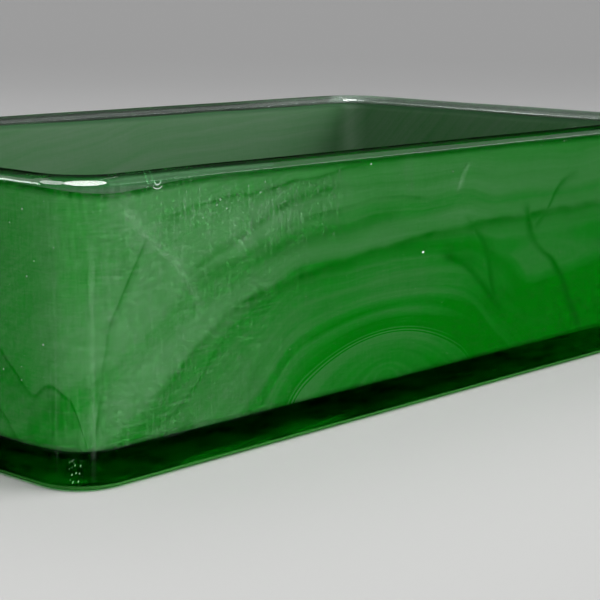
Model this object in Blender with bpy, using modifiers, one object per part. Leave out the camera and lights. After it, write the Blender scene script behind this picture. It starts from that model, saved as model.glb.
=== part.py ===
"""Rectangular pressed-glass storage dish with a marbled colour lining.

The dish is one pressing of clear green-tinted glass: four straight walls with
rounded corners, a thick floor slab and a fire-polished rim. A thin layer of
swirled colour covers the inside of the walls and the floor, and stops short
of the rim, so the rim bead and the floor slab stay clear.

Units are metres, with +Z up. The origin is at the middle of the underside,
+X runs along the length and +Y along the width.
"""

import bmesh
import bpy
from mathutils import Vector

# Overall size, at the widest level of the tapered walls.
LENGTH = 0.216
WIDTH = 0.120
HEIGHT = 0.060

# The glass.
CORNER_RADIUS = 0.0117
WALL = 0.0040
FLOOR = 0.0068
OUTER_DRAFT = 0.0007
INNER_DRAFT = 0.0012
RIM_RADIUS = 0.0019
FOOT_RADIUS = 0.0012
FLOOR_FILLET = 0.0015

# The colour lining, and the clearance that keeps it off the glass.
LINING = 0.0008
CLEARANCE = 0.0003
LINING_DROP = 0.0028

# Smoothness of the rounded shapes.
CORNER_SEGMENTS = 12
ROUND_SEGMENTS = 5

# A point lies on a level when it is within this distance of it.
ON_LEVEL = 1e-5

# An edge is sharp when its faces turn by more than this, in radians.
SHARP_TURN = 0.6


def clear_scene():
    for obj in list(bpy.data.objects):
        bpy.data.objects.remove(obj, do_unlink=True)


def new_collection(name):
    collection = bpy.data.collections.new(name)
    bpy.context.scene.collection.children.link(collection)
    return collection


def new_material(name, colour, roughness, transmission=0.0):
    material = bpy.data.materials.new(name)
    material.use_nodes = True
    shader = material.node_tree.nodes["Principled BSDF"]
    shader.inputs["Base Color"].default_value = (*colour, 1.0)
    shader.inputs["Metallic"].default_value = 0.0
    shader.inputs["Roughness"].default_value = roughness
    shader.inputs["Transmission Weight"].default_value = transmission
    shader.inputs["IOR"].default_value = 1.5
    return material


def rounded_block(top_size, bottom_size, bottom, top, radius):
    """A block between two levels, tapered and with its four upright edges rounded."""
    bm = bmesh.new()
    bmesh.ops.create_cube(bm, size=1.0)
    for vert in bm.verts:
        length, width = top_size if vert.co.z > 0 else bottom_size
        level = top if vert.co.z > 0 else bottom
        vert.co = Vector((vert.co.x * length, vert.co.y * width, level))
    upright = [edge for edge in bm.edges if abs(edge.verts[0].co.z - edge.verts[1].co.z) > ON_LEVEL]
    bmesh.ops.bevel(
        bm,
        geom=upright,
        offset=radius,
        offset_type="OFFSET",
        segments=CORNER_SEGMENTS,
        profile=0.5,
        affect="EDGES",
    )
    return bm


def face_on_level(bm, level):
    """The flat face whose corners all lie on this level."""
    return next(
        face for face in bm.faces
        if all(abs(vert.co.z - level) < ON_LEVEL for vert in face.verts)
    )


def round_edges(bm, level, radius):
    """Rounds the sharp edges between a flat face and a wall, all round, on this level."""
    bm.normal_update()
    edges = [
        edge for edge in bm.edges
        if all(abs(vert.co.z - level) < ON_LEVEL for vert in edge.verts)
        and edge.calc_face_angle() > SHARP_TURN
    ]
    bmesh.ops.bevel(
        bm,
        geom=edges,
        offset=radius,
        offset_type="OFFSET",
        segments=ROUND_SEGMENTS,
        profile=0.5,
        affect="EDGES",
    )


def size_with_inset(inset):
    """Length and width of the dish's plan, this far in from its widest outline."""
    return (LENGTH - 2 * inset, WIDTH - 2 * inset)


def inner_inset(level):
    """How far in from the widest outline the cavity's wall is at this level."""
    return WALL + INNER_DRAFT * (HEIGHT - level) / (HEIGHT - FLOOR)


def new_object(name, bm, material, collection):
    mesh = bpy.data.meshes.new(name)
    bmesh.ops.recalc_face_normals(bm, faces=bm.faces)
    bm.to_mesh(mesh)
    bm.free()
    mesh.materials.append(material)
    mesh.shade_smooth()
    mesh.set_sharp_from_angle(angle=SHARP_TURN)
    obj = bpy.data.objects.new(name, mesh)
    collection.objects.link(obj)
    return obj


def make_vessel(collection):
    """The glass: a tapered block, hollowed from its top face down to the floor slab."""
    bm = rounded_block(size_with_inset(0), size_with_inset(OUTER_DRAFT), 0, HEIGHT, CORNER_RADIUS)
    mouth = face_on_level(bm, HEIGHT)
    bmesh.ops.inset_region(bm, faces=[mouth], thickness=WALL, use_even_offset=True)

    mouth_length, mouth_width = size_with_inset(WALL)
    floor_length, floor_width = size_with_inset(inner_inset(FLOOR))
    sunk = bmesh.ops.extrude_face_region(bm, geom=[mouth])
    bmesh.ops.delete(bm, geom=[mouth], context="FACES_ONLY")
    for vert in (item for item in sunk["geom"] if isinstance(item, bmesh.types.BMVert)):
        vert.co.x *= floor_length / mouth_length
        vert.co.y *= floor_width / mouth_width
        vert.co.z = FLOOR

    round_edges(bm, FLOOR, FLOOR_FILLET)
    round_edges(bm, HEIGHT, RIM_RADIUS)
    round_edges(bm, 0, FOOT_RADIUS)
    glass = new_material("clear_green_glass", (0.72, 0.90, 0.74), 0.03, transmission=1.0)
    return new_object("glass_vessel", bm, glass, collection)


def make_lining(collection):
    """The colour layer: an open tray that follows the cavity, thickened inwards."""
    bottom = FLOOR + CLEARANCE
    top = HEIGHT - LINING_DROP
    bm = rounded_block(
        size_with_inset(inner_inset(top) + CLEARANCE),
        size_with_inset(inner_inset(bottom) + CLEARANCE),
        bottom,
        top,
        CORNER_RADIUS - WALL - CLEARANCE,
    )
    round_edges(bm, bottom, FLOOR_FILLET - CLEARANCE)
    bmesh.ops.delete(bm, geom=[face_on_level(bm, top)], context="FACES_ONLY")
    colour = new_material("marbled_green_colour", (0.05, 0.19, 0.06), 0.45)
    lining = new_object("marbled_lining", bm, colour, collection)
    shell = lining.modifiers.new("Layer", "SOLIDIFY")
    shell.thickness = LINING
    shell.offset = -1.0
    shell.use_even_offset = True
    return lining


def main():
    clear_scene()
    collection = new_collection("glass_storage_dish")
    make_vessel(collection)
    make_lining(collection)


main()
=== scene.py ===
"""The looks of the glass storage dish: clear green glass over a marbled colour lining.

Lengths are in metres, and the dish stands on the floor with its length along X. The
marbling, the wear and the camera are worked out in heights of the dish, from the near
lower corner of its outline, which is the one at low X and low Y.
"""

import math
import operator
from functools import reduce

import bpy
from mathutils import Matrix, Vector, noise


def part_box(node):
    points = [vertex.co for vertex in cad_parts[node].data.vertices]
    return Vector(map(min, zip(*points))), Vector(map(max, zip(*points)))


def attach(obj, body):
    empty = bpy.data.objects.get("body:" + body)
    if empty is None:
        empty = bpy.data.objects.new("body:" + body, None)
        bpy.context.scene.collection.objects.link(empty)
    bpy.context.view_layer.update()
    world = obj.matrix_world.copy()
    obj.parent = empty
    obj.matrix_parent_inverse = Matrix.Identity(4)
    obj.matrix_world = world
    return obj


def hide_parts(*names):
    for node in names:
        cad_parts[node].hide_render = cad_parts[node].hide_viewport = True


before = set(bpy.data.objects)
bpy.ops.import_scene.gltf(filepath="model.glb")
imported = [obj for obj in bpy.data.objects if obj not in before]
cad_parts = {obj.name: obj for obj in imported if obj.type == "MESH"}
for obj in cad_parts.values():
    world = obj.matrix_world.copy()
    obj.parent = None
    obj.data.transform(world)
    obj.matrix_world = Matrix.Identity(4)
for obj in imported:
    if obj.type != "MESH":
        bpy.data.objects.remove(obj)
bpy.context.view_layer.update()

# The dish, from the frame.
GLASS_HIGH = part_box("glass_vessel")[1]
LINING_LOW, LINING_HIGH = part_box("marbled_lining")
HEIGHT = GLASS_HIGH.z
HALF_LENGTH = GLASS_HIGH.x
HALF_WIDTH = GLASS_HIGH.y
NEAR_CORNER = Vector((-HALF_LENGTH, -HALF_WIDTH, 0))

# The glass. Insets are counted from the widest outline.
CORNER_RADIUS = 0.0117
WALL = 0.0040
OUTER_DRAFT = 0.0007
INNER_DRAFT = 0.0012
CLEARANCE = 0.0003
FLOOR = LINING_LOW.z - CLEARANCE
RIM_RADIUS = WALL / 2
FOOT_RADIUS = 0.0012
FLOOR_FILLET = 0.0015

# How far pressing left the surfaces short of their true places, the breadth of that swell
# and its seed: in on the walls, and down on the rim from a share of the height up.
WALL_SWELL = 0.00010
WALL_SWELL_BREADTH = 0.018
WALL_SEED = 7.3
CREST_SWELL = 0.00016
CREST_SWELL_BREADTH = 0.030
CREST_SEED = 2.9
CREST_START = 0.9

# The lining: how deep its outer skin sinks into the glass, so that no air is left between
# them, how far its inner skin stands out of it, and how its upper edge wanders and dips.
LINING_SINK = 0.00006
LINING_PROUD = 0.00030
EDGE_LEVEL = LINING_HIGH.z + 0.0004
EDGE_WANDER = 0.00045
EDGE_WANDER_BREADTH = 0.055
EDGE_SEED = 3.1
EDGE_RIPPLE_SHARE = 0.4
EDGE_RIPPLE_BREADTH = 0.02
EDGE_DIP = 0.0014
EDGE_DIP_PLACE = NEAR_CORNER + Vector((0.010, 0, 0))
EDGE_DIP_REACH = 0.014

# How finely the shapes are divided.
STATION_STEP = 0.0015
CORNER_STEPS = 20
ROUND_STEPS = 10
WALL_STEPS = 30

# The camera, from the near lower corner of the outline.
CAMERA_PLACE = Vector((-3.360, -3.938, 1.598)) * HEIGHT
CAMERA_HEADING = math.radians(41.98)
CAMERA_TILT = math.radians(10.58)
CAMERA_ROLL = math.radians(0.70)
CAMERA_LENS = 103.6
CAMERA_CLIP_START = 0.01

# The floor, and the air gap that any dish keeps over the table it stands on.
FLOOR_GAP = 0.00025
FLOOR_SIZE = 60

# The sky: a dim fill, and soft windows as (bearing from, to, elevation from, to, strength).
# Bearings are in degrees to the left of the direction that faces the near corner. Rays that
# glass mirrors or bends keep only a share of the sky's light.
LIGHT_FACING = math.radians(225)
SKY_FILL = 0.15
SKY_LIGHTS = (
    (-36, 30, 0, 42, 1.5),
    (60, 112, 0, 42, 7.9),
    (-116, -50, 0, 32, 0.1),
    (-190, 190, 35, 75, 1.0),
)
SKY_IN_GLASS = 0.07


# ---------------------------------------------------------------- shapes


def outline():
    """Places along the widest outline, anticlockwise from above: (point, outward normal)."""
    straight_x = HALF_LENGTH - CORNER_RADIUS
    straight_y = HALF_WIDTH - CORNER_RADIUS
    stations = []
    for quarter in range(4):
        along = straight_y if quarter % 2 == 0 else straight_x
        reach = HALF_LENGTH if quarter % 2 == 0 else HALF_WIDTH
        start = quarter * math.pi / 2
        normal = Vector((math.cos(start), math.sin(start), 0))
        forward = Vector((-normal.y, normal.x, 0))
        steps = round(2 * along / STATION_STEP)
        for step in range(steps):
            stations.append((normal * reach + forward * along * (2 * step / steps - 1), normal))
        centre = normal * (reach - CORNER_RADIUS) + forward * along
        for step in range(CORNER_STEPS):
            angle = start + math.pi / 2 * step / CORNER_STEPS
            turned = Vector((math.cos(angle), math.sin(angle), 0))
            stations.append((centre + turned * CORNER_RADIUS, turned))
    return stations


def arc(centre, radius, start, end, steps=ROUND_STEPS):
    """Points of a wall's section on an arc, as (inset, level), with angles in degrees."""
    points = []
    for step in range(steps + 1):
        angle = math.radians(start + (end - start) * step / steps)
        points.append((centre[0] + radius * math.cos(angle), centre[1] + radius * math.sin(angle)))
    return points


def straight(start, end, steps):
    """Points of a wall's section between two points, without the two ends."""
    start = Vector(start)
    end = Vector(end)
    return [tuple(start.lerp(end, step / steps)) for step in range(1, steps)]


def outer_inset(level):
    return OUTER_DRAFT * (1 - level / HEIGHT)


def inner_inset(level):
    return WALL + INNER_DRAFT * (HEIGHT - level) / (HEIGHT - FLOOR)


def glass_section():
    """The glass wall's section from under the foot, up, over the rim and down to the floor."""
    foot = arc((outer_inset(0) + FOOT_RADIUS, FOOT_RADIUS), FOOT_RADIUS, 270, 180)
    rim_level = HEIGHT - RIM_RADIUS
    rim = arc((outer_inset(rim_level) + RIM_RADIUS, rim_level), RIM_RADIUS, 180, 0, 2 * ROUND_STEPS)
    fillet = arc((inner_inset(FLOOR) + FLOOR_FILLET, FLOOR + FLOOR_FILLET), FLOOR_FILLET, 180, 270)
    under = (foot[0][0] + FOOT_RADIUS, 0)
    inside = (fillet[-1][0] + FLOOR_FILLET, FLOOR)
    return [
        under,
        *foot,
        *straight(foot[-1], rim[0], WALL_STEPS),
        *rim,
        *straight(rim[-1], fillet[0], WALL_STEPS),
        *fillet,
        inside,
    ]


def slow_noise(place, seed, breadth):
    """Slow noise along a surface, from -1 to 1."""
    return noise.noise(place / breadth + Vector((seed, 0, 0)))


def swell(place, seed, breadth):
    """A slow uneven swell at a place, from 0 to 1."""
    return 0.5 + 0.5 * slow_noise(place, seed, breadth)


def pressed(place, normal, level):
    """How far pressing and fire polishing left a point from its true place."""
    inward = WALL_SWELL * swell(place + Vector((0, 0, level)), WALL_SEED, WALL_SWELL_BREADTH)
    crest = max(0, level / HEIGHT - CREST_START) / (1 - CREST_START)
    lowered = CREST_SWELL * swell(place, CREST_SEED, CREST_SWELL_BREADTH) * crest
    return -normal * inward - Vector((0, 0, lowered))


def new_mesh(name, rings):
    """A closed mesh from rings of equal length, with a flat face across the first and last."""
    count = len(rings[0])
    vertices = [point for ring in rings for point in ring]
    faces = []
    for row in range(len(rings) - 1):
        low, high = row * count, (row + 1) * count
        for station in range(count):
            after = (station + 1) % count
            faces.append((low + station, low + after, high + after, high + station))
    last = (len(rings) - 1) * count
    faces.append(tuple(range(count - 1, -1, -1)))
    faces.append(tuple(range(last, last + count)))
    mesh = bpy.data.meshes.new(name)
    mesh.from_pydata(vertices, [], faces)
    mesh.shade_smooth()
    return mesh


def new_piece(name, mesh, node):
    piece = bpy.data.objects.new(name, mesh)
    bpy.context.scene.collection.objects.link(piece)
    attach(piece, "root")
    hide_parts(node)
    return piece


def glass_piece(material):
    """The glass, from rings of the outline at each point of the section."""
    stations = outline()
    rings = []
    for inset, level in glass_section():
        ring = []
        for place, normal in stations:
            point = place - normal * inset + Vector((0, 0, level))
            if 0 < level and inset < WALL:
                point += pressed(place, normal, level)
            ring.append(point)
        rings.append(ring)
    mesh = new_mesh("pressed_glass", rings)
    mesh.materials.append(material)
    return new_piece("pressed_glass", mesh, "glass_vessel")


def edge_level(place):
    """Where the lining's upper edge runs at a place on the outline."""
    wander = slow_noise(place, EDGE_SEED, EDGE_WANDER_BREADTH)
    wander += EDGE_RIPPLE_SHARE * slow_noise(place, 0, EDGE_RIPPLE_BREADTH)
    dip = math.exp(-((place - EDGE_DIP_PLACE).length / EDGE_DIP_REACH) ** 2)
    return EDGE_LEVEL + EDGE_WANDER * wander - EDGE_DIP * dip


def lining_section(top, sink):
    """One skin of the lining from its upper edge to the floor, this far outside the cavity's wall."""
    inset = inner_inset(FLOOR) - sink
    radius = FLOOR_FILLET
    fillet = arc((inset + radius, FLOOR - sink + radius), radius, 180, 270)
    inside = (fillet[-1][0] + radius, fillet[-1][1])
    start = (inner_inset(top) - sink, top)
    return [start, *straight(start, fillet[0], WALL_STEPS), *fillet, inside]


def lining_piece(outer_material, inner_material, under_material):
    """The lining: an outer and an inner skin, joined along the upper edge."""
    stations = outline()
    skins = []
    for sink, drop in ((LINING_SINK, 0), (-LINING_PROUD, LINING_PROUD)):
        columns = []
        for place, normal in stations:
            section = lining_section(edge_level(place) - drop, sink)
            columns.append([place - normal * inset + Vector((0, 0, level)) for inset, level in section])
        skins.append([list(row) for row in zip(*columns)])
    rings = skins[0][::-1] + skins[1]
    mesh = new_mesh("marbled_lining_coat", rings)
    for material in (outer_material, inner_material, under_material):
        mesh.materials.append(material)
    outer, inner, under = range(3)
    outer_faces = len(stations) * (len(skins[0]) - 1)
    underside = len(mesh.polygons) - 2
    for index, face in enumerate(mesh.polygons):
        is_outer = index < outer_faces or index == underside
        is_under = is_outer and face.center.z < FLOOR - LINING_SINK / 2
        face.material_index = under if is_under else outer if is_outer else inner
    levels = [edge_level(place) for place, _ in stations] * len(rings)
    below = mesh.attributes.new("below_edge", "FLOAT", "POINT")
    for index, vertex in enumerate(mesh.vertices):
        below.data[index].value = (levels[index] - vertex.co.z) / HEIGHT
    return new_piece("marbled_lining_coat", mesh, "marbled_lining")


# ---------------------------------------------------------------- fields

# A float curve holds heights up to 1, so curves are stored in shares of this height.
CURVE_TOP = 4.0


class Field:
    """A number that varies over a surface: a node's output, with ordinary arithmetic."""

    def __init__(self, tree, output):
        self.tree = tree
        self.output = output

    def math(self, operation, *others):
        node = self.tree.nodes.new("ShaderNodeMath")
        node.operation = operation
        for socket, value in zip(node.inputs, (self, *others)):
            plug(self.tree, value, socket)
        return Field(self.tree, node.outputs[0])

    def __add__(self, other):
        return self.math("ADD", other)

    def __sub__(self, other):
        return self.math("SUBTRACT", other)

    def __mul__(self, other):
        return self.math("MULTIPLY", other)

    def __truediv__(self, other):
        return self.math("DIVIDE", other)

    def root(self):
        return self.math("SQRT")

    def size(self):
        return self.math("ABSOLUTE")

    def most(self, other):
        return self.math("MAXIMUM", other)

    def step(self, start, end):
        """Rises smoothly from 0 to 1 as the field goes from start to end, in either direction."""
        node = self.tree.nodes.new("ShaderNodeMapRange")
        node.interpolation_type = "SMOOTHSTEP"
        rising = start < end
        plug(self.tree, self, node.inputs["Value"])
        node.inputs["From Min"].default_value = min(start, end)
        node.inputs["From Max"].default_value = max(start, end)
        node.inputs["To Min"].default_value = 0 if rising else 1
        node.inputs["To Max"].default_value = 1 if rising else 0
        return Field(self.tree, node.outputs["Result"])

    def between(self, start, end, soft):
        """1 from start to end, and 0 beyond, over soft edges."""
        return self.step(start - soft, start + soft) * self.step(end + soft, end - soft)

    def line(self, width):
        """1 where the field is 0, and fades to 0 where it is width or more."""
        return self.size().step(width, 0)

    def curve(self, points):
        """The height of a smooth curve through points, (field, height), at this field."""
        low, high = points[0][0], points[-1][0]
        node = self.tree.nodes.new("ShaderNodeFloatCurve")
        plug(self.tree, (self - low) / (high - low), node.inputs["Value"])
        knots = node.mapping.curves[0].points
        scaled = [((place - low) / (high - low), height / CURVE_TOP) for place, height in points]
        knots[0].location = scaled[0]
        knots[1].location = scaled[-1]
        for knot in scaled[1:-1]:
            knots.new(*knot)
        node.mapping.update()
        return Field(self.tree, node.outputs["Value"]) * CURVE_TOP


def plug(tree, value, socket):
    """Feeds a socket with a field or a plain number."""
    if isinstance(value, Field):
        tree.links.new(value.output, socket)
    else:
        socket.default_value = value


def place_fields(tree):
    """The surface's own x, y and z in heights of the dish, from the near lower corner."""
    coordinates = tree.nodes.new("ShaderNodeTexCoord")
    split = tree.nodes.new("ShaderNodeSeparateXYZ")
    tree.links.new(coordinates.outputs["Object"], split.inputs[0])
    return [
        (Field(tree, split.outputs[axis]) - NEAR_CORNER[axis]) / HEIGHT
        for axis in range(3)
    ]


def scaled(place, across, up):
    """A place with its x and y scaled by one number and its z by another."""
    x, y, z = place
    return x * across, y * across, z * up


def region(axes, *steps):
    """1 where every step, (axis, where it starts, where it is whole), is whole, and 0 outside."""
    return reduce(operator.mul, [axes[axis].step(start, end) for axis, start, end in steps])


def sum_of(fields):
    return reduce(operator.add, fields)


def patchwork(axes, patches):
    """The sum of patches, each as (strength, steps of its region)."""
    return sum_of([region(axes, *steps) * strength for strength, steps in patches])


def joined(tree, place):
    """A place given by three fields or numbers, as one vector."""
    join = tree.nodes.new("ShaderNodeCombineXYZ")
    for socket, value in zip(join.inputs, place):
        plug(tree, value, socket)
    return join.outputs[0]


def noise_field(tree, x, y, z, detail=3.0, roughness=0.5):
    """Cloudy noise, mostly from 0.3 to 0.7, at a place given by three fields or numbers."""
    node = tree.nodes.new("ShaderNodeTexNoise")
    node.inputs["Scale"].default_value = 1.0
    node.inputs["Detail"].default_value = detail
    node.inputs["Roughness"].default_value = roughness
    tree.links.new(joined(tree, (x, y, z)), node.inputs["Vector"])
    return Field(tree, node.outputs["Fac"])


def uneven(tree, x, y, z, detail=3.0):
    """Cloudy noise round 0, at a place given by three fields or numbers."""
    return noise_field(tree, x, y, z, detail) - 0.5


def colour_ramp(tree, field, stops, interpolation="LINEAR"):
    """Colours read along a field, from stops of (field, colour)."""
    node = tree.nodes.new("ShaderNodeValToRGB")
    node.color_ramp.interpolation = interpolation
    elements = node.color_ramp.elements
    elements.remove(elements[1])
    elements[0].position = stops[0][0]
    elements[0].color = (*stops[0][1], 1)
    for position, colour in stops[1:]:
        elements.new(position).color = (*colour, 1)
    plug(tree, field, node.inputs["Fac"])
    return node.outputs["Color"]


def new_material(name):
    material = bpy.data.materials.new(name)
    material.use_nodes = True
    return material, material.node_tree, material.node_tree.nodes["Principled BSDF"]


# ---------------------------------------------------------------- marbling

# The bands are arcs of circles, out from a focus on the near long wall. A circle's centre lies
# below the focus by the circle's distance in the bands times the sag.
FOCUS_X = 1.5
FOCUS_Z = 0.145
BAND_SAG = 1.37

# How the bands depart from such arcs. Right of the focus they run nearly level beyond a reach,
# which is shorter high up, and they climb a little. Sideways they are crowded by a factor that
# grows away from the focus, and on the far part of the dish they carry on outwards.
LEVEL_REACH = 0.9
LEVEL_REACH_CHANGE = -0.35
HIGH_UP = (0.45, 0.60)
LEVEL_SHARE = 0.85
CROWDING = 0.94
CROWDING_GROWTH = 0.22
CROWDING_RISE = (0.45, 0.70)
CLIMB = -0.12
CLIMB_RISE = (0.15, 0.45)
FAR_PART_Y = 0.5

# How milky the colour is across its bands, out from the focus: (distance, milkiness).
BAND_RANGE = 2.6
BANDS = (
    (0.00, 0.30),
    (0.08, 0.30),
    (0.11, 0.50),
    (0.14, 0.32),
    (0.32, 0.40),
    (0.40, 0.72),
    (0.51, 0.75),
    (0.53, 0.00),
    (0.63, 0.04),
    (0.69, 0.50),
    (0.74, 0.48),
    (0.79, 0.06),
    (0.84, 0.20),
    (0.90, 0.64),
    (0.98, 0.50),
    (1.15, 0.56),
    (1.34, 0.45),
    (1.40, 0.30),
    (1.47, 0.35),
    (1.55, 0.80),
    (1.75, 0.85),
    (1.84, 0.55),
    (1.94, 0.55),
    (2.03, 0.85),
    (2.30, 0.80),
    (2.50, 0.65),
)

# Thin dark lines between the bands, each as (distance, half width, strength).
BAND_LINES = ((0.470, 0.012, 0.9), (0.500, 0.016, 1.4))

# Parts of the walls, each as a step (axis, where it starts, where it is whole). The side is the
# distance round the near corner, which is below 0 on the short wall, and the level is z with
# some unevenness.
LONG_WALL = ("y", 0.30, 0.10)
SHORT_WALL = ("x", 0.25, 0.08)
LEFT_PART = ("x", 1.30, 0.30)
STRIPED_PART = ("x", 1.60, 2.10)
RIGHT_PART = ("x", 1.70, 2.10)
CALM_PART = ("x", 1.90, 2.30)
# The far end, made clearer and so darker as painted shade.
PAINTED_SHADE_FAR_END = ("x", 3.30, 3.50)
# The near corner, made clearer and so darker as painted shade.
PAINTED_SHADE_CORNER = (("x", 0.22, 0.05), ("y", 0.22, 0.05))
SHELTERED = (("side", 0.75, 0.45), ("z", 0.15, 0.35), ("z", 0.72, 0.52))
STRIPE = (("level", 0.67, 0.71), ("level", 0.75, 0.71))
SIDE_START = 0.03

# Parts that are milkier or clearer than their bands, each as (milkiness added, steps). The clearer
# near corner and far end are painted shade.
MILK_PATCHES = (
    (0.26, (LONG_WALL, LEFT_PART)),
    (0.12, (LONG_WALL, *SHELTERED)),
    (-0.24, (LONG_WALL, RIGHT_PART, ("level", 0.675, 0.655))),
    (-0.28, (LONG_WALL, RIGHT_PART, ("level", 0.46, 0.32))),
    (0.20, (LONG_WALL, STRIPED_PART, *STRIPE)),
    (0.04, (SHORT_WALL,)),
    (-0.34, (SHORT_WALL, ("z", 0.50, 0.30))),
    # Painted shade on the near corner, with more of it higher up.
    (-0.225, PAINTED_SHADE_CORNER),
    (-0.225, (*PAINTED_SHADE_CORNER, ("z", 0.30, 0.55))),
    # Painted shade on the far end.
    (-0.12, (PAINTED_SHADE_FAR_END,)),
)

# The noises of the marbling, each as (scale of x and y, scale of z).
DRIFT_SCALE = (1.3, 1.3)
RIPPLE_SCALE = (5, 5)
CLOUD_SCALE = (2.2, 3.0)
WEFT_SCALE = (20, 170)
WARP_SCALE = (150, 24)

# Streaks and finer threads follow the bands: (scale across them, along them, of z).
STREAK_SCALE = (11, 0.7, 0.7)
THREAD_SCALE = (26, 1.75, 2)

# How far drift and ripple move the bands, beyond the first arcs, and the level.
BAND_DRIFT = 0.35
BAND_RIPPLE = 0.05
BAND_DRIFT_RISE = (0.5, 1.6)
LEVEL_DRIFT = 0.12
LEVEL_RIPPLE = 0.04

# How much milkiness each noise adds, and how that changes on some of the walls.
STREAK_MILK = 0.6
SHORT_WALL_STREAK_MILK = -0.35
THREAD_MILK = 0.30
CLOUD_MILK = 0.5
GRAIN_MILK = 0.22
LEFT_GRAIN_MILK = 0.18
CALM_CHANGE = -0.4

# The milkiness that the palettes call 1.
MILK_TOP = 1.3

# Dark wisps on the two near walls, each as (axis that it runs along, half width, reach of the
# veil on one side of it, strength, points as (along, aside)). The axes are z and the side, and
# the one that it doesn't run along is aside.
WISPS = (
    (
        "side", 0.011, -0.26, 1.4,
        (
            (-0.80, 0.70), (-0.50, 0.56), (-0.31, 0.407), (-0.225, 0.334), (-0.15, 0.285), (-0.09, 0.32),
            (-0.03, 0.29), (0.00, 0.265), (0.05, 0.14),
        ),
    ),
    (
        "side", 0.014, -0.08, 1.1,
        ((-0.60, 0.34), (-0.45, 0.29), (-0.316, 0.204), (-0.23, 0.12)),
    ),
    (
        "z", 0.008, 0.04, 0.7,
        (
            (0.17, 0.082), (0.33, 0.111), (0.45, 0.130), (0.52, 0.149), (0.60, 0.184), (0.70, 0.24),
            (0.79, 0.29),
        ),
    ),
    (
        "side", 0.012, -0.03, 0.6,
        ((0.24, 0.155), (0.33, 0.175), (0.43, 0.205), (0.50, 0.255), (0.60, 0.37), (0.68, 0.44)),
    ),
    (
        "side", 0.009, -0.05, 0.9,
        ((0.38, 0.84), (0.60, 0.874), (0.80, 0.886), (1.00, 0.905), (1.20, 0.924), (1.55, 0.949)),
    ),
    (
        "side", 0.018, 0.04, 0.6,
        ((0.48, 0.64), (0.60, 0.70), (0.70, 0.73), (0.81, 0.78), (0.95, 0.83), (1.20, 0.868)),
    ),
    (
        "side", 0.009, -0.03, 0.5,
        ((1.04, 0.774), (1.19, 0.79), (1.38, 0.805), (1.70, 0.80)),
    ),
    (
        "side", 0.034, -0.06, 0.5,
        ((0.44, 0.59), (0.56, 0.63), (0.75, 0.674), (0.88, 0.69), (1.13, 0.71), (1.55, 0.75)),
    ),
    (
        "side", 0.022, -0.08, 0.9,
        (
            (0.25, 0.16), (0.34, 0.24), (0.44, 0.33), (0.54, 0.405), (0.63, 0.465), (0.70, 0.503),
            (0.78, 0.530), (0.94, 0.556), (1.13, 0.582), (1.38, 0.613), (1.75, 0.640), (2.20, 0.655),
            (2.70, 0.665), (3.20, 0.675),
        ),
    ),
    (
        "z", 0.022, 0.09, 1.0,
        ((0.32, 2.20), (0.405, 2.156), (0.48, 2.138), (0.56, 2.10), (0.62, 2.05), (0.67, 2.00)),
    ),
    (
        "side", 0.026, 0.14, 1.1,
        ((1.84, 0.555), (1.93, 0.524), (2.00, 0.48), (2.08, 0.418), (2.15, 0.355), (2.22, 0.30)),
    ),
    (
        "side", 0.018, -0.05, 0.8,
        ((2.44, 0.605), (2.50, 0.643), (2.55, 0.693), (2.59, 0.749), (2.65, 0.786), (2.73, 0.805)),
    ),
    (
        "z", 0.028, -0.06, 1.2,
        (
            (0.10, 2.81), (0.205, 2.763), (0.28, 2.713), (0.355, 2.663), (0.405, 2.625), (0.468, 2.563),
            (0.505, 2.50), (0.555, 2.438), (0.618, 2.406), (0.69, 2.388),
        ),
    ),
)

# How the wisps are drawn: their line's breadth in half widths, the shares of the line and the
# veil, how softly they end, how the ripple moves them, and the noise that makes them waver.
WISP_BREADTH = 1.6
WISP_LINE_SHARE = 0.5
WISP_VEIL_SHARE = 0.5
WISP_END = 0.05
WISP_RIPPLE = 0.04
WAVER_SCALE = 4
WAVER_GAIN = 2
WAVER_CUT = 0.2


def band_distance(side, y, z):
    """How far out from the focus a place is in the bands."""
    across = side - FOCUS_X
    up = z - FOCUS_Z + (y - FAR_PART_Y).most(0)
    reach = z.step(*HIGH_UP) * LEVEL_REACH_CHANGE + LEVEL_REACH
    near = across - (across - reach).most(0) * LEVEL_SHARE
    near = near * (across.size().step(*CROWDING_RISE) * CROWDING_GROWTH + CROWDING)
    climb = across.most(0) * up.step(*CLIMB_RISE) * CLIMB
    return up * BAND_SAG + (near * near + up * up * (1 + BAND_SAG**2)).root() + climb


def banded_milk(tree, distance):
    """How milky the bands and the thin lines between them are, at a distance out from the focus."""
    stops = [(place / BAND_RANGE, (milk, milk, milk)) for place, milk in BANDS]
    milk = Field(tree, colour_ramp(tree, distance / BAND_RANGE, stops))
    for place, width, strength in BAND_LINES:
        milk = milk - (distance - place).line(width) * strength
    return milk


def wisps(tree, axes, ripple):
    """How dark the wisps on the near walls are, from 0 to 1."""
    side, z = axes["side"], axes["z"]
    waver = noise_field(tree, side * WAVER_SCALE, 0.5, z * WAVER_SCALE, detail=2.0)
    waver = waver * WAVER_GAIN - WAVER_CUT
    drawn = []
    for axis, width, veil, strength, points in WISPS:
        along, aside = (z, side) if axis == "z" else (side, z)
        inside = along.between(points[0][0], points[-1][0], WISP_END)
        offset = aside + ripple * WISP_RIPPLE - along.curve(points)
        near_side = offset.step(-width, 0) if veil > 0 else offset.step(width, 0)
        sheer = near_side * offset.step(veil, 0)
        line = offset.line(width * WISP_BREADTH)
        drawn.append((line * WISP_LINE_SHARE + sheer * WISP_VEIL_SHARE) * inside * strength * waver)
    return reduce(Field.most, drawn)


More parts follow.
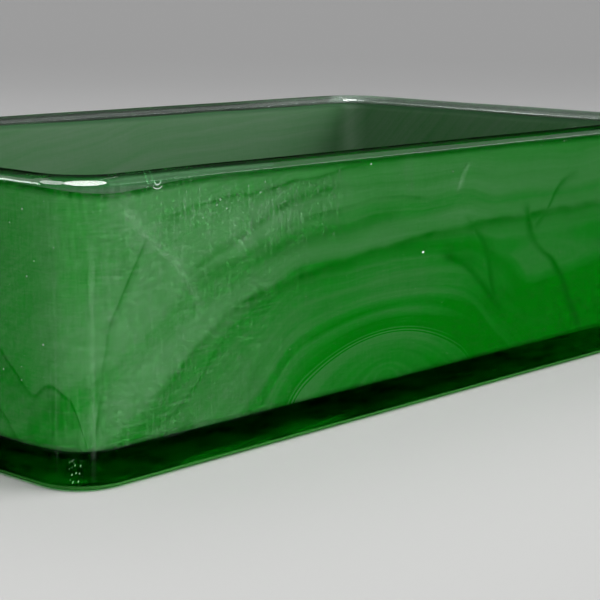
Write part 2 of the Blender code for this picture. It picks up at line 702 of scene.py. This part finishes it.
def marbling(tree):
    """How milky the colour is, from 0 for clear dark green to 1, and how dark its wisps are."""
    place = place_fields(tree)
    x, y, z = place
    drift = uneven(tree, *scaled(place, *DRIFT_SCALE), detail=2.0)
    ripple = uneven(tree, *scaled(place, *RIPPLE_SCALE), detail=2.0)
    side = x - y + SIDE_START
    level = z + ripple * LEVEL_RIPPLE + drift * LEVEL_DRIFT
    axes = {"x": x, "y": y, "z": z, "side": side, "level": level}
    distance = band_distance(side, y, z)
    distance = distance + (drift * BAND_DRIFT + ripple * BAND_RIPPLE) * distance.step(*BAND_DRIFT_RISE)
    streaks, threads = (
        uneven(tree, distance * across, (x + y) * along, z * up)
        for across, along, up in (STREAK_SCALE, THREAD_SCALE)
    )
    clouds = uneven(tree, *scaled(place, *CLOUD_SCALE), detail=4.0)
    grain = uneven(tree, *scaled(place, *WEFT_SCALE)) + uneven(tree, *scaled(place, *WARP_SCALE))
    short = region(axes, SHORT_WALL)
    texture = streaks * (short * SHORT_WALL_STREAK_MILK + STREAK_MILK)
    texture = texture + threads * THREAD_MILK + clouds * CLOUD_MILK
    texture = texture + grain * (region(axes, LEFT_PART) * LEFT_GRAIN_MILK + GRAIN_MILK)
    texture = texture * (region(axes, LONG_WALL, CALM_PART) * CALM_CHANGE + 1)
    milk = banded_milk(tree, distance) + patchwork(axes, MILK_PATCHES) + texture
    return milk / MILK_TOP, wisps(tree, axes, ripple) * region(axes, LONG_WALL).most(short)


# ---------------------------------------------------------------- materials

# Colours by milkiness, of the lining as seen through the glass and from inside the dish.
OUTER_PALETTE = (
    (0.00, (0.0008, 0.212, 0.0035)),
    (0.27, (0.015, 0.236, 0.022)),
    (0.50, (0.049, 0.234, 0.052)),
    (0.77, (0.099, 0.258, 0.099)),
    (1.00, (0.120, 0.275, 0.120)),
)
INNER_PALETTE = (
    (0.00, (0.006, 0.086, 0.008)),
    (0.35, (0.034, 0.102, 0.038)),
    (0.77, (0.064, 0.113, 0.067)),
    (1.00, (0.076, 0.125, 0.079)),
)
OUTER_WISP = (0.001, 0.165, 0.004)
OUTER_EDGE = (0.002, 0.130, 0.006)
INNER_WISP = (0.015, 0.060, 0.018)
INNER_EDGE = (0.020, 0.070, 0.025)

# Where the dark line along the lining's upper edge starts and is whole, in heights below it.
EDGE_LINE = (0.030, 0.006)

# Colours by mottling under the floor, brighter than the coat as painted light for the light that
# comes through it from inside the dish, the mottling's scale, and how far it is lowered, and so
# darkened as painted shade, towards the short wall.
UNDER_PAINTED_GLOW_PALETTE = (
    (0.38, (0.001, 0.200, 0.008)),
    (0.45, (0.004, 0.560, 0.030)),
    (0.52, (0.012, 0.700, 0.060)),
    (0.60, (0.030, 0.950, 0.120)),
)
UNDER_SCALE = (4.0, 1)
UNDER_SHADE = (0.2, -0.3)
UNDER_SHADE_DROP = 0.09


def mix(tree, factor, first, second):
    """A blend of two colours by a field."""
    node = tree.nodes.new("ShaderNodeMix")
    node.data_type = "RGBA"
    plug(tree, factor, node.inputs["Factor"])
    for socket, colour in ((node.inputs["A"], first), (node.inputs["B"], second)):
        if isinstance(colour, tuple):
            socket.default_value = (*colour, 1)
        else:
            tree.links.new(colour, socket)
    return node.outputs["Result"]


def marbled_colour(name, palette, wisp_colour, edge_colour, roughness, specular):
    """The marbled colour, with its wisps and the dark line along its upper edge."""
    material, tree, shader = new_material(name)
    milk, dark = marbling(tree)
    base = colour_ramp(tree, milk, palette)
    edge = tree.nodes.new("ShaderNodeAttribute")
    edge.attribute_name = "below_edge"
    rim = Field(tree, edge.outputs["Fac"]).step(*EDGE_LINE)
    colour = mix(tree, dark, base, wisp_colour)
    colour = mix(tree, rim, colour, edge_colour)
    tree.links.new(colour, shader.inputs["Base Color"])
    shader.inputs["Roughness"].default_value = roughness
    shader.inputs["Specular IOR Level"].default_value = specular
    return material


def under_colour():
    """The colour under the floor, mottled and painted bright as a glow, which shows through the clear
    foot of the walls.
    """
    material, tree, shader = new_material("marbled_colour_under")
    place = place_fields(tree)
    x, y, _ = place
    mottle = noise_field(tree, *scaled(place, *UNDER_SCALE), detail=3.0, roughness=0.6)
    mottle = mottle - (x - y).step(*UNDER_SHADE) * UNDER_SHADE_DROP
    tree.links.new(colour_ramp(tree, mottle, UNDER_PAINTED_GLOW_PALETTE), shader.inputs["Base Color"])
    shader.inputs["Roughness"].default_value = 0.6
    shader.inputs["Specular IOR Level"].default_value = 0.0
    return material


# ---------------------------------------------------------------- wear and painted highlights

# The noises of the wear, each as (scale of x and y, scale of z), and where it is clear and whole.
SUGAR_SCALE = (90, 90)
SUGAR_RISE = (0.49, 0.64)
PATCH_SCALE = (6, 6)
PATCH_RISE = (0.36, 0.60)
UPRIGHT_SCALE = (110, 10)
LEVEL_SCALE = (10, 110)
SCRATCH_RISE = (0.45, 0.65)

# Specks: frost in the haze, and dust, each as (cells to a height, size in cells, share of cells).
FROST = (52, 0.22, 0.85)
DUST = (24, 0.09, 0.55)
DUST_WEAR = 0.4

# The haze on the near long wall: its steps, the least share of it between its patches, and how
# much wear its parts add.
HAZE = (("x", 0.22, 0.54), ("x", 1.44, 1.12), ("z", 0.66, 0.76), ("z", 0.97, 0.87))
HAZE_LEAST = 0.45
HAZE_SUGAR = 0.045
HAZE_FROST = 0.28
HAZE_UPRIGHT = 0.015

# Scuffs on the near long wall, each as (axis across it, axis along it, half width, strength,
# points as (along, across)). The slant is x + z, and the slope is x - z.
SCUFFS = (
    ("slant", "slope", 0.040, 1.0, ((-0.66, 1.09), (-0.52, 1.093), (-0.29, 1.117), (-0.04, 1.09))),
    ("z", "x", 0.036, 0.8, ((0.71, 0.724), (0.76, 0.76), (0.80, 0.79), (0.83, 0.82))),
    ("x", "z", 0.028, 1.2, ((0.80, 1.915), (0.84, 1.935), (0.885, 1.962), (0.91, 1.99))),
    ("x", "z", 0.014, 0.6, ((0.83, 1.632), (0.94, 1.622))),
    ("x", "z", 0.012, 0.5, ((0.88, 1.590), (0.96, 1.600))),
)
CLOUDED_SCUFF = (
    "slant", "slope", 0.12, 0.03,
    ((-0.82, 1.09), (-0.66, 1.10), (-0.54, 1.085), (-0.42, 1.09)),
)
CLOUDED_LEAST = 0.5
SCUFF_END = 0.02
SCUFF_SUGAR = 0.045
SCUFF_WEAR = 0.015

# A bruise under the near rim: its middle, and its two rings as (radius, half width). The rings
# show below the rim bead, and the outer one only on its lower side.
BRUISE_X = 0.344
BRUISE_Z = 0.968
INNER_RING = (0.014, 0.004)
OUTER_RING = (0.027, 0.003)
BELOW_BEAD = (0.972, 0.964)
LOWER_SIDE = (0.952, 0.944)
BRUISE_WEAR = 0.35

# A white speck fused on the near long wall, wider than it is high.
SPECK_X = 1.711
SPECK_Z = 0.59
SPECK_FLATNESS = 3
SPECK_EDGE = (0.0085, 0.004)
SPECK_WEAR = 0.8

# Painted highlights: upright glints down the near corner, each as (place along the side, half
# width, strength), and chips at its foot. The side is 0 in the middle of the corner.
NEAR_EDGE = (0.30, 0.20)
GLINTS = ((-0.100, 0.010, 0.6), (0.062, 0.018, 1.0))
GLINT_LEVELS = (0.03, 0.80, 0.03)
GLINT_RISE = (0.10, 0.14)
GLINT_LEAST = 0.4
GLINT_PAINTED_HIGHLIGHT = 0.030
CHIP_SCALE = (120, -60, 70)
CHIP_SIZE = 0.38
CHIP_SHARE = 0.70
CHIP_SIDES = (-0.044, 0.008, 0.008)
CHIP_LEVELS = (0.02, 0.10, 0.01)
CHIP_WEAR = 0.9

# Wear of the foot and the rim all round, and more of it on the far rim, each as (wear, steps).
# The foot's whitened line is real scuffing and also a painted highlight; the whitening of the rim
# and of the far rim is painted light.
RIM = ("z", 0.955, 0.970)
FAR_LONG_WALL = ("y", 1.6, 1.8)
EDGE_WEAR_AND_PAINTED_LIGHT = (
    (0.4, (("z", 0.000, 0.006), ("z", 0.019, 0.013))),
    # Painted light along the rim.
    (0.02, (("z", 0.957, 0.967), ("z", 0.989, 0.979))),
    # Painted light on the far rim, with a painted highlight near its far corner.
    (0.018, (RIM, FAR_LONG_WALL)),
    (0.03, (RIM, FAR_LONG_WALL, ("x", 2.6, 3.1))),
    (0.08, (RIM, ("x", 3.35, 3.45))),
)

# Wear of the underside, in mottled patches, and less of it towards the short wall, as painted shade.
BOTTOM = ("z", 0.002, 0.001)
BOTTOM_SCALE = 2.8
BOTTOM_RISE = (0.46, 0.62)
BOTTOM_PATCH_WEAR = 0.40
BOTTOM_WEAR = 0.14
BOTTOM_PAINTED_SHADE_FADE = (-0.3, 0.2)
BOTTOM_LEAST = 0.1

# The near long wall, where the haze, the scuffs, the bruise and the fused speck are.
NEAR_WALL = (("y", 0.12, 0.04), ("x", 0.10, 0.22))

# Fine scratches all over the glass above its base band, and more of them on the left.
ABOVE_BASE = ("z", 0.12, 0.14)
SCRATCHES = 0.002
LEFT_SCRATCHES = 0.016


def speck_field(tree, x, y, z, size, share):
    """1 on small round specks scattered one to a cell, in a share of the cells, and 0 elsewhere."""
    node = tree.nodes.new("ShaderNodeTexVoronoi")
    node.inputs["Scale"].default_value = 1.0
    tree.links.new(joined(tree, (x, y, z)), node.inputs["Vector"])
    chance = tree.nodes.new("ShaderNodeSeparateColor")
    tree.links.new(node.outputs["Color"], chance.inputs[0])
    chosen = Field(tree, chance.outputs[0]).step(share, share - 0.01)
    breadth = Field(tree, chance.outputs[1]) * size + size * 0.3
    return (Field(tree, node.outputs["Distance"]) / breadth).step(1, 0.5) * chosen


def scattered(tree, place, specks):
    """Specks scattered all over, given as (cells to a height, size in cells, share of cells)."""
    cells, size, share = specks
    return speck_field(tree, *scaled(place, cells, cells), size, share)


def scuff_field(axes, scuff):
    """A scuff's strength along its curve, and 0 beyond its half width and its ends."""
    across, along, width, strength, points = scuff
    inside = axes[along].between(points[0][0], points[-1][0], SCUFF_END)
    return (axes[across] - axes[along].curve(points)).line(width) * inside * strength


def haze(tree, place, axes, sugar, upright):
    """Patches of fine frosty haze under the near rim."""
    patches = noise_field(tree, *scaled(place, *PATCH_SCALE)).step(*PATCH_RISE)
    thickness = region(axes, *HAZE) * (patches * (1 - HAZE_LEAST) + HAZE_LEAST)
    frost = scattered(tree, place, FROST)
    return thickness * (sugar * HAZE_SUGAR + frost * HAZE_FROST + upright * HAZE_UPRIGHT)


def scuffed(axes, sugar):
    """All the scuffs, of which the clouded one is broad and faint."""
    crisp = sum_of([scuff_field(axes, scuff) for scuff in SCUFFS])
    clouded = scuff_field(axes, CLOUDED_SCUFF)
    clouded = clouded * (sugar * (1 - CLOUDED_LEAST) + CLOUDED_LEAST)
    return clouded + crisp * (sugar * SCUFF_SUGAR + SCUFF_WEAR)


def bruised(x, z):
    """The rings of the bruise under the near rim."""
    across = x - BRUISE_X
    up = z - BRUISE_Z
    distance = (across * across + up * up).root()
    inner, outer = ((distance - radius).line(width) for radius, width in (INNER_RING, OUTER_RING))
    return (inner + outer * z.step(*LOWER_SIDE)) * z.step(*BELOW_BEAD) * BRUISE_WEAR


def fused_speck(x, z):
    """The one white speck on the near long wall."""
    across = x - SPECK_X
    up = z - SPECK_Z
    return (across * across + up * up * SPECK_FLATNESS).root().step(*SPECK_EDGE) * SPECK_WEAR


def corner_glints_and_chips(tree, x, y, z):
    """The painted highlights down the near corner, and the chips at its foot."""
    side = x - y
    glints = sum_of([(side - place).line(width) * strength for place, width, strength in GLINTS])
    glints = glints * z.between(*GLINT_LEVELS) * (z.step(*GLINT_RISE) * (1 - GLINT_LEAST) + GLINT_LEAST)
    round_corner, slanted, up = CHIP_SCALE
    chips = speck_field(tree, side * round_corner + z * slanted, 0.5, z * up, CHIP_SIZE, CHIP_SHARE)
    chips = chips * side.between(*CHIP_SIDES) * z.between(*CHIP_LEVELS)
    # The glints are painted highlights, whitened into the glass like wear.
    return (glints * GLINT_PAINTED_HIGHLIGHT + chips * CHIP_WEAR) * (x + y).step(*NEAR_EDGE)


def bottom_wear(tree, axes):
    """The worn patches of the underside, with less wear towards the short wall as painted shade."""
    x, y = axes["x"], axes["y"]
    patches = noise_field(tree, x * BOTTOM_SCALE, y * BOTTOM_SCALE, 0.5, roughness=0.6)
    patches = patches.step(*BOTTOM_RISE) * BOTTOM_PATCH_WEAR + BOTTOM_WEAR
    share = (x - y).step(*BOTTOM_PAINTED_SHADE_FADE) * (1 - BOTTOM_LEAST) + BOTTOM_LEAST
    return region(axes, BOTTOM) * patches * share


def wear_and_painted_light(tree):
    """How worn or dusty the glass is, with painted highlights on the rim, the far rim, the foot and
    down the near corner, from 0 for clear and smooth to 1 for white and dull.

    Worn glass is also what lets the rim's lamps light the colour behind it.
    """
    place = place_fields(tree)
    x, y, z = place
    axes = {"x": x, "y": y, "z": z, "slant": x + z, "slope": x - z}
    sugar = noise_field(tree, *scaled(place, *SUGAR_SCALE), detail=4.0, roughness=0.7).step(*SUGAR_RISE)
    upright, level = (
        noise_field(tree, *scaled(place, *scale), detail=2.0).step(*SCRATCH_RISE)
        for scale in (UPRIGHT_SCALE, LEVEL_SCALE)
    )
    on_wall = haze(tree, place, axes, sugar, upright) + scuffed(axes, sugar)
    on_wall = (on_wall + bruised(x, z) + fused_speck(x, z)) * region(axes, *NEAR_WALL)
    above_base = region(axes, ABOVE_BASE)
    dust = scattered(tree, place, DUST) * above_base * DUST_WEAR
    share = above_base * (region(axes, LEFT_PART) * LEFT_SCRATCHES + SCRATCHES)
    return sum_of([
        on_wall,
        corner_glints_and_chips(tree, x, y, z),
        dust,
        patchwork(axes, EDGE_WEAR_AND_PAINTED_LIGHT),
        bottom_wear(tree, axes),
        (upright + level) * share,
    ])


# The tint of the clear glass by height, painted light and shade over the glass's own green:
# deep green at the foot, green in the base band, nearly clear up the wall, green in the rim and
# nearly black at its crest, where the black is painted shade. The far rim reads lower heights,
# which leaves it paler, as painted light.
GLASS_TINTS_AND_PAINTED_SHADE = (
    (0.000, (0.03, 0.80, 0.06)),
    (0.004, (0.08, 0.40, 0.07)),
    (0.022, (0.08, 0.40, 0.07)),
    (0.034, (0.30, 0.80, 0.32)),
    (0.100, (0.30, 0.80, 0.32)),
    (0.112, (0.85, 1.00, 0.90)),
    (0.955, (0.85, 1.00, 0.90)),
    (0.966, (0.32, 1.00, 0.44)),
    (0.986, (0.32, 1.00, 0.44)),
    (0.993, (0.004, 0.04, 0.009)),
)
FAR_LONG_WALL_Y = (1.4, 1.7)
FAR_SHORT_WALL_X = (3.2, 3.4)
FAR_RIM_PAINTED_LIGHT_SHIFT = 0.045
WORN_ROUGHNESS = 0.4
GLASS_IOR = 1.5
GLASS_COLOUR = (0.25, 0.90, 0.35, 1)
GLASS_DENSITY = 35.0


def clear_glass():
    """Green-tinted glass, with painted light and shade in its tint, which wear, dust and painted
    highlights turn white and dull.
    """
    material, tree, shader = new_material("clear_green_glass")
    worn_and_painted_bright = wear_and_painted_light(tree)
    x, y, z = place_fields(tree)
    far = y.step(*FAR_LONG_WALL_Y).most(x.step(*FAR_SHORT_WALL_X))
    # Painted shade at the crest and painted light on the far rim come with the tint.
    tint_and_painted_shade = colour_ramp(tree, z - far * FAR_RIM_PAINTED_LIGHT_SHIFT, GLASS_TINTS_AND_PAINTED_SHADE)
    tree.links.new(tint_and_painted_shade, shader.inputs["Base Color"])
    plug(tree, worn_and_painted_bright * WORN_ROUGHNESS, shader.inputs["Roughness"])
    shader.inputs["IOR"].default_value = GLASS_IOR
    plug(tree, worn_and_painted_bright * -1 + 1, shader.inputs["Transmission Weight"])
    absorption = tree.nodes.new("ShaderNodeVolumeAbsorption")
    absorption.inputs["Color"].default_value = GLASS_COLOUR
    absorption.inputs["Density"].default_value = GLASS_DENSITY
    tree.links.new(absorption.outputs[0], tree.nodes["Material Output"].inputs["Volume"])
    return material


# ---------------------------------------------------------------- studio

# Lamps that light the rim, each as (name, bearing, elevation, distance, (width, height), power,
# shape). Their light also reaches the colour through the worn glass, and the front lamp gives
# the near walls most of their brightness.
RIM_LAMPS = (
    ("rim_light_front", 14, 32, 0.8, (1.25, 0.90), 54, "ELLIPSE"),
    ("rim_light_left", -55, 27, 0.8, (0.74, 0.55), 9, "ELLIPSE"),
    ("rim_light_low", -88, 4, 0.8, (0.35, 0.12), 1.3, "RECTANGLE"),
    ("rim_light_far", -92, 27, 0.8, (0.35, 0.85), 1.4, "RECTANGLE"),
    ("rim_light_right", 86, 28, 0.8, (0.80, 0.90), 0.35, "RECTANGLE"),
    ("rim_strip_high", 86, 62, 0.8, (0.80, 0.05), 0.5, "RECTANGLE"),
    ("rim_strip_low", 86, 1, 0.8, (0.80, 0.05), 0.3, "RECTANGLE"),
)
BACK_LAMP = ("back_light", 180, 40, 1.0, (1.2, 0.6), 2.5, "RECTANGLE")

# The floor's shades out from the near corner, in shares of a reach in heights: a painted fall-off
# of light, darker in the distance.
FLOOR_REACH = 40
FLOOR_PAINTED_FALLOFF = ((0.0, (0.44, 0.44, 0.435)), (0.25, (0.27, 0.27, 0.27)), (0.8, (0.24, 0.24, 0.24)))

# How softly the sky's windows end, and where the sky fades at the horizon, in degrees.
WINDOW_EDGE = 3
HORIZON = (-2, 2)


def add_camera():
    data = bpy.data.cameras.new("camera")
    data.lens = CAMERA_LENS
    data.clip_start = CAMERA_CLIP_START
    camera = bpy.data.objects.new("camera", data)
    bpy.context.scene.collection.objects.link(camera)
    camera.matrix_world = (
        Matrix.Translation(NEAR_CORNER + CAMERA_PLACE)
        @ Matrix.Rotation(CAMERA_HEADING - math.pi / 2, 4, "Z")
        @ Matrix.Rotation(math.pi / 2 - CAMERA_TILT, 4, "X")
        @ Matrix.Rotation(CAMERA_ROLL, 4, "Z")
    )
    bpy.context.scene.camera = camera


def add_softbox(name, bearing, elevation, distance, size, power, shape):
    """A lamp that faces the near corner and that the camera can't see. Angles are in degrees."""
    data = bpy.data.lights.new(name, "AREA")
    data.shape = shape
    data.size, data.size_y = size
    data.energy = power
    lamp = bpy.data.objects.new(name, data)
    bpy.context.scene.collection.objects.link(lamp)
    turn = LIGHT_FACING + math.radians(bearing)
    rise = math.radians(elevation)
    towards = Vector((math.cos(turn) * math.cos(rise), math.sin(turn) * math.cos(rise), math.sin(rise)))
    lamp.location = NEAR_CORNER + Vector((0, 0, HEIGHT)) + towards * distance
    lamp.rotation_euler = towards.to_track_quat("Z", "Y").to_euler()
    lamp.visible_camera = False
    return lamp


def add_lamps():
    """The rim's lamps, which dull surfaces in the open don't see, and one behind with no highlight."""
    for settings in RIM_LAMPS:
        lamp = add_softbox(*settings)
        lamp.visible_diffuse = False
        lamp.visible_transmission = False
    add_softbox(*BACK_LAMP).visible_glossy = False


def add_floor():
    """A pale floor, painted darker in the distance as a fall-off of light, that the dish neither mirrors
    nor shows through itself.
    """
    bpy.ops.mesh.primitive_plane_add(size=FLOOR_SIZE, location=(0, 0, -FLOOR_GAP))
    floor = bpy.context.object
    floor.name = "studio_floor"
    material, tree, shader = new_material("studio_floor")
    x, y, _ = place_fields(tree)
    distance = (x * x + y * y).root()
    # Painted shade: the floor darkens with distance.
    ramp = colour_ramp(tree, distance / FLOOR_REACH, FLOOR_PAINTED_FALLOFF, "EASE")
    tree.links.new(ramp, shader.inputs["Base Color"])
    shader.inputs["Roughness"].default_value = 1.0
    shader.inputs["Specular IOR Level"].default_value = 0.0
    floor.data.materials.append(material)
    floor.visible_glossy = False
    floor.visible_transmission = False


def add_sky():
    """Soft lights all round as windows of a dim sky, which glass shows dimmer still."""
    world = bpy.data.worlds.new("studio")
    bpy.context.scene.world = world
    world.use_nodes = True
    tree = world.node_tree
    coordinates = tree.nodes.new("ShaderNodeTexCoord")
    split = tree.nodes.new("ShaderNodeSeparateXYZ")
    tree.links.new(coordinates.outputs["Generated"], split.inputs[0])
    x, y, z = (Field(tree, output) for output in split.outputs)
    ahead = x * math.cos(LIGHT_FACING) + y * math.sin(LIGHT_FACING)
    aside = y * math.cos(LIGHT_FACING) - x * math.sin(LIGHT_FACING)
    bearing = aside.math("ARCTAN2", ahead) * math.degrees(1)
    elevation = z.math("ARCSINE") * math.degrees(1)
    strength = elevation.step(*HORIZON) * SKY_FILL
    for left, right, low, high, power in SKY_LIGHTS:
        window = bearing.between(left, right, WINDOW_EDGE) * elevation.between(low, high, WINDOW_EDGE)
        strength = strength + window * power
    in_glass = Field(tree, tree.nodes.new("ShaderNodeLightPath").outputs["Is Glossy Ray"])
    strength = strength * (in_glass * (SKY_IN_GLASS - 1) + 1)
    background = tree.nodes["Background"]
    background.inputs["Color"].default_value = (1, 1, 1, 1)
    plug(tree, strength, background.inputs["Strength"])
    bpy.context.scene.view_settings.view_transform = "Standard"


glass_piece(clear_glass())
lining_piece(
    marbled_colour("marbled_colour_outer", OUTER_PALETTE, OUTER_WISP, OUTER_EDGE, 0.5, 0.0),
    marbled_colour("marbled_colour_inner", INNER_PALETTE, INNER_WISP, INNER_EDGE, 0.45, 0.04),
    under_colour(),
)
add_floor()
add_sky()
add_lamps()
add_camera()
